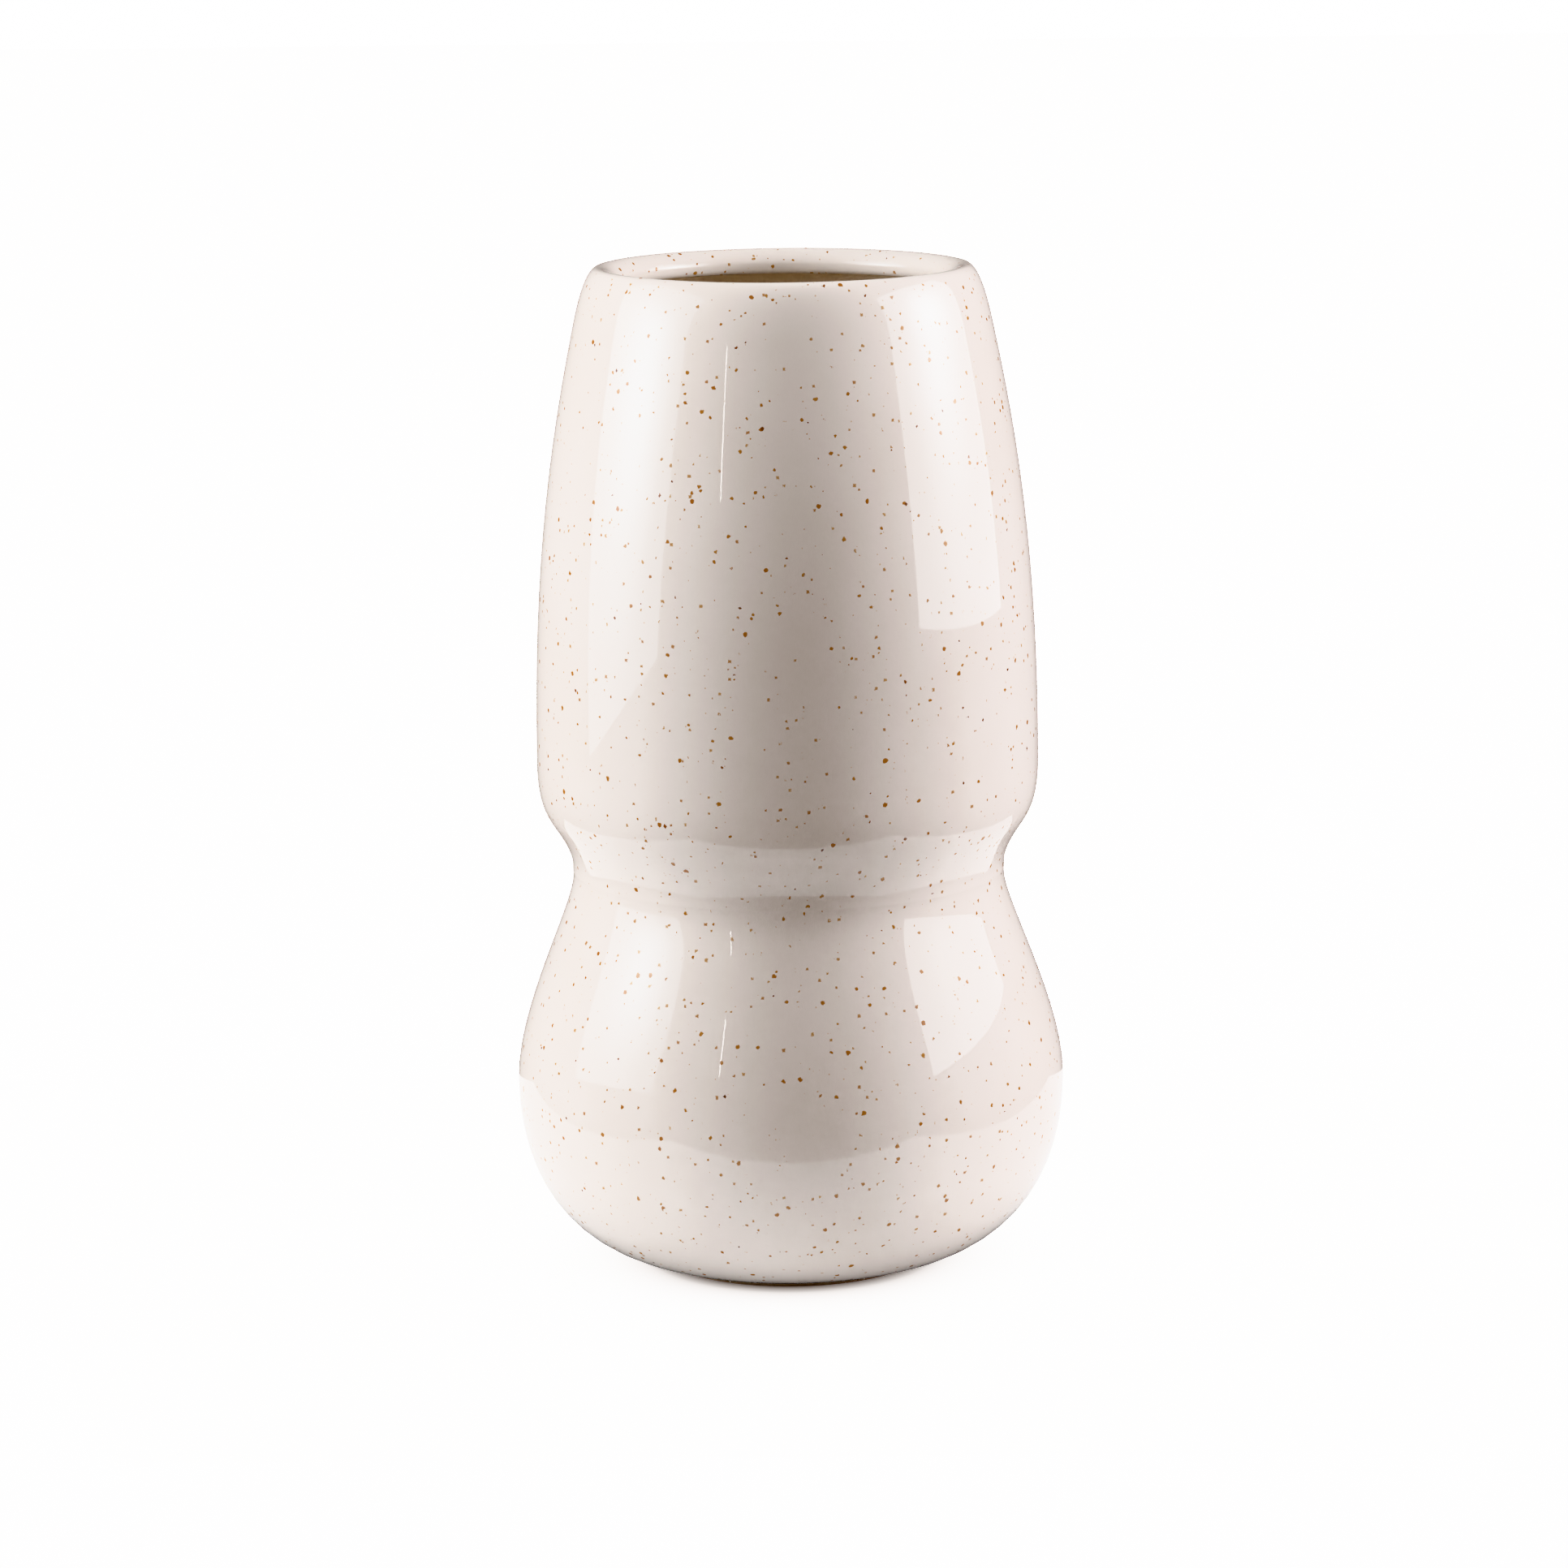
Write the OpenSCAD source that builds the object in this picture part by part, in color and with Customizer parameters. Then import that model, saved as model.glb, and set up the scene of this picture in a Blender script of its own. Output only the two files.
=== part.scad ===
// Double-bellied stoneware vase: two thrown sections luted at the waist,
// a turned foot ring, a rolled lip, a speckled outer glaze and a liner glaze.
// Millimetres, +Z up. The origin is the centre of the foot, on the table.

/* [Overall] */
// Height of the vase, from the table to the crest of the lip
height = 250; // [246:1:270]
// Thickness of the wall and of the floor, glaze included
wall = 5.2; // [4:0.1:6]
// Thickness of each coat of glaze
glaze = 0.45; // [0.3:0.05:0.8]
// Thickness of the slip that lutes the two sections together
slip = 1.2; // [0.6:0.1:2]

/* [Foot] */
// Outer radius of the foot ring
foot_radius = 35; // [32:0.1:38]
// Width of the foot ring
foot_width = 6.5; // [4:0.1:10]
// Height of the glazed underside above the table, beside the foot
foot_height = 1.8; // [1.2:0.1:4]
// Bare clay between the foot ring and the edge of the glaze
bare_margin = 0.7; // [0.5:0.1:2]
// Chamfer of the foot ring's lower edges
foot_chamfer = 0.5; // [0.2:0.1:1]

/* [Belly] */
// Radius of the belly at its widest line
belly_radius = 68.8; // [66:0.1:72]
// Height of the belly's widest line
belly_z = 46.2; // [44:0.1:49]
// Angle at which the underside leaves the foot, in degrees
underside_rise = 5.7; // [2:0.1:9]
// Reach of the low underside before it turns up
underside_reach = 16.9; // [13:0.1:19]
// Fullness of the belly below its widest line
belly_fullness_below = 29.3; // [26:0.1:32]
// Fullness of the belly above its widest line
belly_fullness_above = 17.6; // [14:0.1:21]

/* [Waist] */
// Radius of the waist at its narrowest line
waist_radius = 54; // [52:0.1:55]
// Height of the waist's narrowest line
waist_z = 98.6; // [97:0.1:100]
// Softness of the curve that runs up into the waist
waist_ease_below = 7.8; // [6:0.1:9]
// Lean of the wall just above the crease at the waist, in degrees
waist_flare = 16; // [10:0.5:18]
// Softness of the curve that leaves the waist
waist_ease_above = 1.2; // [0.8:0.1:2.4]

/* [Shelf] */
// Radius of the shelf where the barrel spreads above the waist
shelf_radius = 57.3; // [57:0.1:58.5]
// Height of the shelf
shelf_z = 109.4; // [108.5:0.1:111]
// Slope of the shelf, in degrees from level
shelf_slope = 57.8; // [56:0.1:61]
// Softness of the shelf's hollow side
shelf_ease_below = 8; // [6:0.1:8.5]
// Softness of the shelf's round side
shelf_ease_above = 4.7; // [3.5:0.1:5.5]

/* [Barrel] */
// Radius of the barrel at its widest line
barrel_radius = 62.6; // [61.5:0.1:64]
// Height of the barrel's widest line
barrel_z = 127; // [125:0.1:130]
// Fullness of the barrel below its widest line
barrel_fullness_below = 11.4; // [10:0.1:13]
// Fullness of the barrel above its widest line
barrel_fullness_above = 42.8; // [36:0.1:48]
// Radius of the shoulder, where the lip begins
shoulder_radius = 51.6; // [50.5:0.1:53]
// Inward lean of the wall at the shoulder, in degrees
shoulder_lean = 12.1; // [8:0.1:14]
// Fullness of the barrel below the shoulder
shoulder_fullness = 37.4; // [30:0.1:42]

/* [Lip] */
// Height of the lip above the shoulder
lip_height = 14; // [13:0.1:15]
// Radius of the lip's crest
crest_radius = 45.4; // [45:0.1:46]
// Radius of the mouth, inside the lip
mouth_radius = 41; // [40.5:0.1:41.5]
// Depth of the lip's inner face below its crest
lip_depth = 6.2; // [5.6:0.1:7]
// Roundness of the lip outside its crest
lip_round_outside = 3.2; // [2.6:0.1:3.8]
// Roundness of the lip inside its crest
lip_round_inside = 2.4; // [2:0.1:2.8]
// Width of the round corner under the lip's inner face
lip_corner = 1.2; // [1:0.1:1.6]

/* [Hidden] */
// Straight stretches that each curve of the outline is drawn with
steps = 10;
// Facets of the preview: every face is a true surface of revolution
$fn = 144;

shoulder_z = height - lip_height;
lip_face_z = height - 0.6 * lip_depth;
lip_edge_z = height - lip_depth;
// Handles of the curve under the lip: level from its edge, then down the wall
undercut_reach = 2.4;
undercut_drop = 5.4;
underside_start = foot_radius + bare_margin;

function ahead(point, angle, distance) = point + distance * [cos(angle), sin(angle)];

// Curves of the glazed surface, each one a cubic Bezier [start, handle, handle, end]
// in [radius, height], running up the outside and over the lip into the mouth.
underside_curve = [
    [underside_start, foot_height],
    ahead([underside_start, foot_height], underside_rise, underside_reach),
    [belly_radius, belly_z - belly_fullness_below],
    [belly_radius, belly_z]];
belly_curve = [
    [belly_radius, belly_z],
    [belly_radius, belly_z + belly_fullness_above],
    [waist_radius, waist_z - slip / 2 - waist_ease_below],
    [waist_radius, waist_z - slip / 2]];
shelf_curve = [
    [waist_radius, waist_z + slip / 2],
    ahead([waist_radius, waist_z + slip / 2], 90 - waist_flare, waist_ease_above),
    ahead([shelf_radius, shelf_z], shelf_slope, -shelf_ease_below),
    [shelf_radius, shelf_z]];
spread_curve = [
    [shelf_radius, shelf_z],
    ahead([shelf_radius, shelf_z], shelf_slope, shelf_ease_above),
    [barrel_radius, barrel_z - barrel_fullness_below],
    [barrel_radius, barrel_z]];
barrel_curve = [
    [barrel_radius, barrel_z],
    [barrel_radius, barrel_z + barrel_fullness_above],
    ahead([shoulder_radius, shoulder_z], 90 + shoulder_lean, -shoulder_fullness),
    [shoulder_radius, shoulder_z]];
lip_curve = [
    [shoulder_radius, shoulder_z],
    ahead([shoulder_radius, shoulder_z], 90 + shoulder_lean, lip_round_outside),
    [crest_radius + lip_round_outside, height],
    [crest_radius, height]];
mouth_curve = [
    [crest_radius, height],
    [crest_radius - lip_round_inside, height],
    [mouth_radius, lip_face_z + lip_round_inside / 2],
    [mouth_radius, lip_face_z]];
corner_curve = [
    [mouth_radius, lip_face_z],
    [mouth_radius, lip_edge_z + lip_corner / 2],
    [mouth_radius + lip_corner / 2, lip_edge_z],
    [mouth_radius + lip_corner, lip_edge_z]];
inner_shoulder = set_in(barrel_curve, 1, wall);
undercut_curve = [
    [mouth_radius + lip_corner, lip_edge_z],
    [mouth_radius + lip_corner + undercut_reach, lip_edge_z],
    ahead(inner_shoulder, 90 + shoulder_lean, undercut_drop),
    inner_shoulder];

lower_curves = [underside_curve, belly_curve];
upper_curves = [shelf_curve, spread_curve, barrel_curve];
lip_outside_curves = [lip_curve, mouth_curve, corner_curve];

// Point at share t of a cubic Bezier
function on_curve(c, t) =
    pow(1 - t, 3) * c[0] + 3 * t * pow(1 - t, 2) * c[1] + 3 * t * t * (1 - t) * c[2] + pow(t, 3) * c[3];
// Direction of the curve at share t
function heading(c, t) =
    pow(1 - t, 2) * (c[1] - c[0]) + 2 * t * (1 - t) * (c[2] - c[1]) + t * t * (c[3] - c[2]);
// Point at share t, moved into the wall by depth
function set_in(c, t, depth) =
    let (h = heading(c, t)) on_curve(c, t) + depth * [-h.y, h.x] / norm(h);
// Points of a run of curves that share their ends, moved into the wall by depth
function outline(curves, depth) = [
    for (k = [0:len(curves) - 1])
        for (i = [(k == 0 ? 0 : 1):steps])
            set_in(curves[k], i / steps, depth)];
// Points of the whole outside; the slip is the straight stretch between its two runs
function whole_outside(depth) = concat(
    outline(lower_curves, depth),
    outline(concat(upper_curves, lip_outside_curves), depth));
// Points of the whole inside, from under the lip down to the floor's edge
function whole_inside(undercut_depth, wall_depth) = concat(
    outline([undercut_curve], undercut_depth),
    without_first(backwards(outline(upper_curves, wall_depth))),
    backwards(outline(lower_curves, wall_depth)));
function backwards(points) = [for (i = [len(points) - 1:-1:0]) points[i]];
function without_first(points) = [for (i = [1:len(points) - 1]) points[i]];
function on_axis(point) = [0, point.y];

// Outlines of the clay sections, which lie under the two coats of glaze
lower_outside = outline(lower_curves, glaze);
lower_inside = outline(lower_curves, wall - glaze);
upper_outside = outline(upper_curves, glaze);
upper_inside = outline(upper_curves, wall - glaze);
base_z = lower_outside[0].y;

module turned(points) {
    rotate_extrude() polygon(points);
}

// Ring of bare clay that the vase stands on
module foot_ring() {
    inner_radius = foot_radius - foot_width;
    color("#a58a6c") turned([
        [inner_radius + foot_chamfer, 0],
        [foot_radius - foot_chamfer, 0],
        [foot_radius, foot_chamfer],
        [foot_radius, base_z],
        [inner_radius, base_z],
        [inner_radius, foot_chamfer]]);
}

// First thrown section: the floor and the belly, up to the waist
module lower_body() {
    color("#b79c7c") turned(concat(
        [on_axis(lower_outside[0])],
        lower_outside,
        backwards(lower_inside),
        [on_axis(lower_inside[0])]));
}

// Ring of slip between the two sections, thicker inside, where the upper one flares
module joint_slip() {
    last = len(lower_outside) - 1;
    color("#9c8468") turned([
        lower_inside[last],
        lower_outside[last],
        upper_outside[0],
        upper_inside[0]]);
}

// Second thrown section: the shelf, the barrel and the shoulder
module upper_body() {
    color("#bfa483") turned(concat(upper_outside, backwards(upper_inside)));
}

// Rolled lip: thicker than the wall, with an undercut inside
module rolled_lip() {
    color("#c6ad8d") turned(outline(concat(lip_outside_curves, [undercut_curve]), glaze));
}

// Speckled glaze of the outside, from the foot over the lip to its inner edge
module outer_glaze() {
    color("#ede7df") turned(concat(whole_outside(0), backwards(whole_outside(glaze))));
}

// Glaze of the inside, from under the lip down to the floor
module liner_glaze() {
    glazed = whole_inside(0, wall);
    clay = whole_inside(glaze, wall - glaze);
    last = len(glazed) - 1;
    color("#e2d9cc") turned(concat(
        glazed,
        [on_axis(glazed[last]), on_axis(clay[last])],
        backwards(clay)));
}

foot_ring();
lower_body();
joint_slip();
upper_body();
rolled_lip();
outer_glaze();
liner_glaze();
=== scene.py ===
"""A double-bellied stoneware vase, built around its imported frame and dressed.

Two thrown sections are luted with slip at the waist. They stand on a turned
foot ring, end in a rolled lip, and wear a speckled glaze outside and a liner
glaze inside. Outline sizes are millimetres, as in the part's source, and every
mesh is written in metres.
"""

import logging
import math
from dataclasses import dataclass, field
from enum import Enum
from typing import Any, Optional, Sequence, Union

import bpy
from mathutils import Euler, Matrix, Vector


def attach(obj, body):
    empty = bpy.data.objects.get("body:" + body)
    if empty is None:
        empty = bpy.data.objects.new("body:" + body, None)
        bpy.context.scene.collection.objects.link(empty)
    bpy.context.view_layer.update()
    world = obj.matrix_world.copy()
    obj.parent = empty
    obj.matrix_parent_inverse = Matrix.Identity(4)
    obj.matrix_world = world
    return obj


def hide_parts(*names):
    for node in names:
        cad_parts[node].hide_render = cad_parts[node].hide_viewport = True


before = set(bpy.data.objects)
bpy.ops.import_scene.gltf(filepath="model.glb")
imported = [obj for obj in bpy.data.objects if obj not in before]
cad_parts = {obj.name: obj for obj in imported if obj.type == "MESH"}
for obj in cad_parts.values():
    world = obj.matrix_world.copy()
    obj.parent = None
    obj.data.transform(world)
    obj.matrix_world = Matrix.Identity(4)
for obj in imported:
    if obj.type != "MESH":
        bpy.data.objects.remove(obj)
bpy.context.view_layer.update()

LOG = logging.getLogger("vase")
MM = 0.001

Point = tuple[float, float]
Colour = tuple[float, float, float]
Operand = Union["Field", float, int, Sequence[float]]
Settings = Optional[dict[str, Any]]
Inputs = Optional[dict[Union[str, int], Any]]


# --------------------------------------------------------------------------
# Node trees


class Field:
    """A node socket that takes part in Python arithmetic."""

    def __init__(self, wiring: "Wiring", socket: bpy.types.NodeSocket) -> None:
        """Wraps one output socket.

        Args:
            wiring: The tree that the socket belongs to.
            socket: The output socket.
        """
        self.wiring = wiring
        self.socket = socket

    @staticmethod
    def _is_vector(operand: Operand) -> bool:
        """Tells whether an operand is a vector, not a single number."""
        if isinstance(operand, Field):
            return operand.socket.type == "VECTOR"
        return isinstance(operand, (tuple, list))

    def _combine(self, operation: str, first: Operand, second: Operand) -> "Field":
        """Adds one Math or Vector Math node.

        Args:
            operation: The node's operation.
            first: Its first operand.
            second: Its second operand.

        Returns:
            The node's result.
        """
        vectors = self._is_vector(first), self._is_vector(second)
        if operation == "MULTIPLY" and vectors[0] != vectors[1]:
            vector, scale = (first, second) if vectors[0] else (second, first)
            inputs = {"Vector": vector, "Scale": scale}
            return self.wiring.add("ShaderNodeVectorMath", {"operation": "SCALE"}, inputs)
        kind = "ShaderNodeVectorMath" if any(vectors) else "ShaderNodeMath"
        return self.wiring.add(kind, {"operation": operation}, {0: first, 1: second})

    def __add__(self, other: Operand) -> "Field":
        """Adds an operand."""
        return self._combine("ADD", self, other)

    def __sub__(self, other: Operand) -> "Field":
        """Takes an operand away."""
        return self._combine("SUBTRACT", self, other)

    def __rsub__(self, other: Operand) -> "Field":
        """Takes the field away from an operand."""
        return self._combine("SUBTRACT", other, self)

    def __mul__(self, other: Operand) -> "Field":
        """Multiplies by an operand."""
        return self._combine("MULTIPLY", self, other)

    def __truediv__(self, other: Operand) -> "Field":
        """Divides by an operand."""
        return self._combine("DIVIDE", self, other)

    def __rtruediv__(self, other: Operand) -> "Field":
        """Divides an operand by the field."""
        return self._combine("DIVIDE", other, self)

    def below(self, limit: Operand) -> "Field":
        """Gives 1 where the field is less than the limit, and 0 elsewhere."""
        return self._combine("LESS_THAN", self, limit)

    def above(self, limit: Operand) -> "Field":
        """Gives 1 where the field is more than the limit, and 0 elsewhere."""
        return self._combine("GREATER_THAN", self, limit)

    def larger(self, other: Operand) -> "Field":
        """Gives the larger of the field and an operand."""
        return self._combine("MAXIMUM", self, other)

    def single(self, operation: str) -> "Field":
        """Passes the field through a Math operation of one operand."""
        return self.wiring.add("ShaderNodeMath", {"operation": operation}, {0: self})

    def step(self, low: Operand, high: Operand) -> "Field":
        """Rises from 0 to 1 between two values, easing in and out.

        Args:
            low: Where the rise starts.
            high: Where the rise ends.

        Returns:
            The eased field, from 0 to 1.
        """
        return self.wiring.add(
            "ShaderNodeMapRange",
            {"interpolation_type": "SMOOTHSTEP"},
            {"Value": self, "From Min": low, "From Max": high},
        )

    def parts(self) -> tuple["Field", "Field", "Field"]:
        """Splits a vector or a colour into its three fields."""
        node = self.wiring.node("ShaderNodeSeparateXYZ", {}, {0: self})
        return tuple(Field(self.wiring, node.outputs[i]) for i in range(3))


class Wiring:
    """Adds and links the nodes of one tree."""

    def __init__(self, tree: bpy.types.NodeTree) -> None:
        """Keeps the tree that the nodes go into."""
        self.tree = tree

    def node(
        self, kind: str, settings: Settings = None, inputs: Inputs = None
    ) -> bpy.types.Node:
        """Adds a node.

        Args:
            kind: The node's type.
            settings: Its properties, which are set first.
            inputs: Values or fields for its sockets, by name or number.

        Returns:
            The new node.
        """
        made = self.tree.nodes.new(kind)
        for name, value in (settings or {}).items():
            setattr(made, name, value)
        for name, value in (inputs or {}).items():
            self.feed(self._socket(made, name), value)
        return made

    def add(
        self,
        kind: str,
        settings: Settings = None,
        inputs: Inputs = None,
        output: Union[str, int] = 0,
    ) -> Field:
        """Adds a node and gives one of its outputs.

        Args:
            kind: The node's type.
            settings: Its properties, which are set first.
            inputs: Values or fields for its sockets.
            output: The name or number of the output.

        Returns:
            That output as a field.
        """
        made = self.node(kind, settings, inputs)
        if isinstance(output, int):
            return Field(self, [s for s in made.outputs if s.enabled][output])
        return Field(self, made.outputs[output])

    def mix(self, share: Operand, first: Any, second: Any) -> Field:
        """Mixes two colours.

        Args:
            share: How much of the second colour is taken.
            first: The first colour, as a field or three numbers.
            second: The second colour, as a field or three numbers.

        Returns:
            The mixed colour.
        """
        return self.add(
            "ShaderNodeMix",
            {"data_type": "RGBA", "clamp_factor": True},
            {"Factor": share, "A": first, "B": second},
        )

    def noise(
        self,
        spot: Field,
        scale: float,
        detail: float,
        roughness: float = 0.5,
        output: Union[str, int] = 0,
    ) -> Field:
        """Adds a noise texture.

        Args:
            spot: The place that it is read at.
            scale: How many features it has in one unit.
            detail: How many octaves it has.
            roughness: How strong the finer octaves are.
            output: The name or number of the output.

        Returns:
            The noise.
        """
        inputs = {"Vector": spot, "Scale": scale, "Detail": detail, "Roughness": roughness}
        return self.add("ShaderNodeTexNoise", {}, inputs, output)

    def bump(self, relief: Field) -> Field:
        """Turns a relief in metres into a surface normal."""
        inputs = {"Strength": 1.0, "Distance": 1.0, "Height": relief}
        return self.add("ShaderNodeBump", {}, inputs)

    def surface(self, inputs: Inputs) -> None:
        """Ends a material in one shader with the given inputs."""
        shader = self.add("ShaderNodeBsdfPrincipled", {}, inputs)
        self.node("ShaderNodeOutputMaterial", {}, {"Surface": shader})

    def vector(self, x: Operand, y: Operand, z: Operand) -> Field:
        """Joins three fields into a vector."""
        return self.add("ShaderNodeCombineXYZ", {}, {0: x, 1: y, 2: z})

    @staticmethod
    def _socket(made: bpy.types.Node, name: Union[str, int]) -> bpy.types.NodeSocket:
        """Finds an input socket that is in use.

        Args:
            made: The node.
            name: The socket's name or number.

        Returns:
            The socket.
        """
        if isinstance(name, int):
            return made.inputs[name]
        return next(s for s in made.inputs if s.name == name and s.enabled)

    def feed(self, socket: bpy.types.NodeSocket, value: Any) -> None:
        """Links a field to a socket, or sets the socket's own value.

        Args:
            socket: The input socket.
            value: A field, a number, a colour, a vector or a data-block.
        """
        if isinstance(value, Field):
            self.tree.links.new(value.socket, socket)
        elif isinstance(value, (tuple, list)):
            width = len(socket.default_value)
            socket.default_value = (tuple(value) + (1.0,))[:width]
        else:
            socket.default_value = value


def cleared(block: Union[bpy.types.Material, bpy.types.World]) -> Wiring:
    """Empties the node tree of a material or a world.

    Args:
        block: The material or the world.

    Returns:
        The wiring of its tree.
    """
    block.use_nodes = True
    block.node_tree.nodes.clear()
    return Wiring(block.node_tree)


# --------------------------------------------------------------------------
# Outline of the vase


@dataclass(frozen=True)
class Bend:
    """One cubic curve of the outline, in [radius, height] millimetres."""

    start: Point
    handle_out: Point
    handle_in: Point
    end: Point

    def set_in(self, share: float, depth: float) -> Point:
        """Gives a point of the curve, moved into the wall.

        Args:
            share: The point's share of the curve.
            depth: How far it moves, in millimetres.

        Returns:
            The moved point.
        """
        a, b, c, d = (Vector(p) for p in (self.start, self.handle_out, self.handle_in, self.end))
        t, rest = share, 1 - share
        point = a * rest**3 + b * (3 * t * rest**2) + c * (3 * t**2 * rest) + d * t**3
        heading = (b - a) * rest**2 + (c - b) * (2 * t * rest) + (d - c) * t**2
        heading.normalize()
        moved = point + Vector((-heading.y, heading.x)) * depth
        return (moved.x, moved.y)


def ahead(point: Point, angle: float, distance: float) -> Point:
    """Moves a point along a direction.

    Args:
        point: The point, in millimetres.
        angle: The direction, in degrees from level.
        distance: How far it moves.

    Returns:
        The moved point.
    """
    turn = math.radians(angle)
    return (point[0] + distance * math.cos(turn), point[1] + distance * math.sin(turn))


def bend(
    start: Point, angle_out: float, reach_out: float, end: Point, angle_in: float, reach_in: float
) -> Bend:
    """Makes a curve from the ways in which it leaves its start and reaches its end.

    Args:
        start: Its start.
        angle_out: Direction in which it leaves the start, in degrees from level.
        reach_out: Length of the start's handle.
        end: Its end.
        angle_in: Direction in which it reaches the end.
        reach_in: Length of the end's handle.

    Returns:
        The curve.
    """
    return Bend(start, ahead(start, angle_out, reach_out), ahead(end, angle_in, -reach_in), end)


@dataclass(frozen=True)
class Outline:
    """Every size of the thrown form, in millimetres and degrees."""

    height: float = 250.0
    wall: float = 5.2
    glaze: float = 0.45
    slip: float = 1.2
    foot_radius: float = 35.0
    foot_width: float = 6.5
    foot_height: float = 1.8
    bare_margin: float = 0.7
    foot_chamfer: float = 0.5
    belly_radius: float = 68.8
    belly_z: float = 46.2
    underside_rise: float = 5.7
    underside_reach: float = 16.9
    belly_fullness_below: float = 29.3
    belly_fullness_above: float = 17.6
    waist_radius: float = 54.0
    waist_z: float = 98.6
    waist_ease_below: float = 7.8
    waist_flare: float = 16.0
    waist_ease_above: float = 1.2
    shelf_radius: float = 57.3
    shelf_z: float = 109.4
    shelf_slope: float = 57.8
    shelf_ease_below: float = 8.0
    shelf_ease_above: float = 4.7
    barrel_radius: float = 62.6
    barrel_z: float = 127.0
    barrel_fullness_below: float = 11.4
    barrel_fullness_above: float = 42.8
    shoulder_radius: float = 51.6
    shoulder_lean: float = 12.1
    shoulder_fullness: float = 37.4
    lip_height: float = 14.0
    crest_radius: float = 45.4
    mouth_radius: float = 41.0
    lip_depth: float = 6.2
    lip_round_outside: float = 3.2
    lip_round_inside: float = 2.4
    lip_corner: float = 1.2
    undercut_reach: float = 2.4
    undercut_drop: float = 5.4
    steps: int = 14

    @property
    def lower(self) -> list[Bend]:
        """Gives the underside and the belly."""
        under = (self.foot_radius + self.bare_margin, self.foot_height)
        belly = (self.belly_radius, self.belly_z)
        joint = (self.waist_radius, self.waist_z - self.slip / 2)
        return [
            bend(under, self.underside_rise, self.underside_reach,
                 belly, 90, self.belly_fullness_below),
            bend(belly, 90, self.belly_fullness_above, joint, 90, self.waist_ease_below),
        ]

    @property
    def upper(self) -> list[Bend]:
        """Gives the shelf, its spread and the barrel up to the shoulder."""
        joint = (self.waist_radius, self.waist_z + self.slip / 2)
        shelf = (self.shelf_radius, self.shelf_z)
        barrel = (self.barrel_radius, self.barrel_z)
        shoulder = (self.shoulder_radius, self.height - self.lip_height)
        return [
            bend(joint, 90 - self.waist_flare, self.waist_ease_above,
                 shelf, self.shelf_slope, self.shelf_ease_below),
            bend(shelf, self.shelf_slope, self.shelf_ease_above,
                 barrel, 90, self.barrel_fullness_below),
            bend(barrel, 90, self.barrel_fullness_above,
                 shoulder, 90 + self.shoulder_lean, self.shoulder_fullness),
        ]

    @property
    def lip(self) -> list[Bend]:
        """Gives the lip over its crest and down to its inner edge."""
        shoulder = (self.shoulder_radius, self.height - self.lip_height)
        crest = (self.crest_radius, self.height)
        face = (self.mouth_radius, self.height - 0.6 * self.lip_depth)
        edge = (self.mouth_radius + self.lip_corner, self.height - self.lip_depth)
        corner = self.lip_corner / 2
        return [
            bend(shoulder, 90 + self.shoulder_lean, self.lip_round_outside,
                 crest, 180, self.lip_round_outside),
            bend(crest, 180, self.lip_round_inside, face, 270, self.lip_round_inside / 2),
            bend(face, 270, face[1] - edge[1] - corner, edge, 0, corner),
        ]

    @property
    def undercut(self) -> list[Bend]:
        """Gives the hollow under the lip, down to the inside of the shoulder."""
        edge = self.lip[-1].end
        inside = self.upper[-1].set_in(1.0, self.wall)
        way_in = 270 + self.shoulder_lean
        return [bend(edge, 0, self.undercut_reach, inside, way_in, self.undercut_drop)]

    def run(self, bends: Sequence[Bend], depth: float) -> list[Point]:
        """Lists the points of a run of curves that share their ends.

        Args:
            bends: The curves, in order.
            depth: How far the points lie inside the glazed surface.

        Returns:
            The points, in millimetres.
        """
        points = [bends[0].set_in(0.0, depth)]
        for curve in bends:
            points += [curve.set_in(i / self.steps, depth) for i in range(1, self.steps + 1)]
        return points

    def whole_outside(self, depth: float) -> list[Point]:
        """Lists the outside from the foot to the lip's inner edge."""
        return self.run(self.lower, depth) + self.run(self.upper + self.lip, depth)

    def whole_inside(self, undercut_depth: float, wall_depth: float) -> list[Point]:
        """Lists the inside from under the lip to the edge of the floor.

        Args:
            undercut_depth: Depth of the points under the lip.
            wall_depth: Depth of the points along the wall.

        Returns:
            The points, in millimetres.
        """
        wall = self.run(self.upper, wall_depth)[::-1]
        return (
            self.run(self.undercut, undercut_depth)
            + wall[1:]
            + self.run(self.lower, wall_depth)[::-1]
        )


def half_round(first: Point, second: Point, count: int = 6) -> list[Point]:
    """Rounds the cut end of a coat of glaze into a bead.

    Args:
        first: The corner that the bead starts at.
        second: The corner that the bead ends at.
        count: How many points the bead has.

    Returns:
        The points between the two corners, on the left of the way from the
        first to the second.
    """
    a, b = Vector(first), Vector(second)
    middle, half = (a + b) / 2, (a - b) / 2
    out = Vector((half.y, -half.x))
    turns = (math.pi * i / (count + 1) for i in range(1, count + 1))
    points = (middle + half * math.cos(t) + out * math.sin(t) for t in turns)
    return [(p.x, p.y) for p in points]


def level_line(radius_from: float, radius_to: float, z: float, count: int) -> list[Point]:
    """Lists evenly spaced points along a level line.

    Args:
        radius_from: Radius of the first point.
        radius_to: Radius of the last point.
        z: Height of the line.
        count: How many points it has.

    Returns:
        The points, in millimetres.
    """
    span = radius_to - radius_from
    return [(radius_from + span * i / (count - 1), z) for i in range(count)]


# --------------------------------------------------------------------------
# Geometry Nodes


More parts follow.
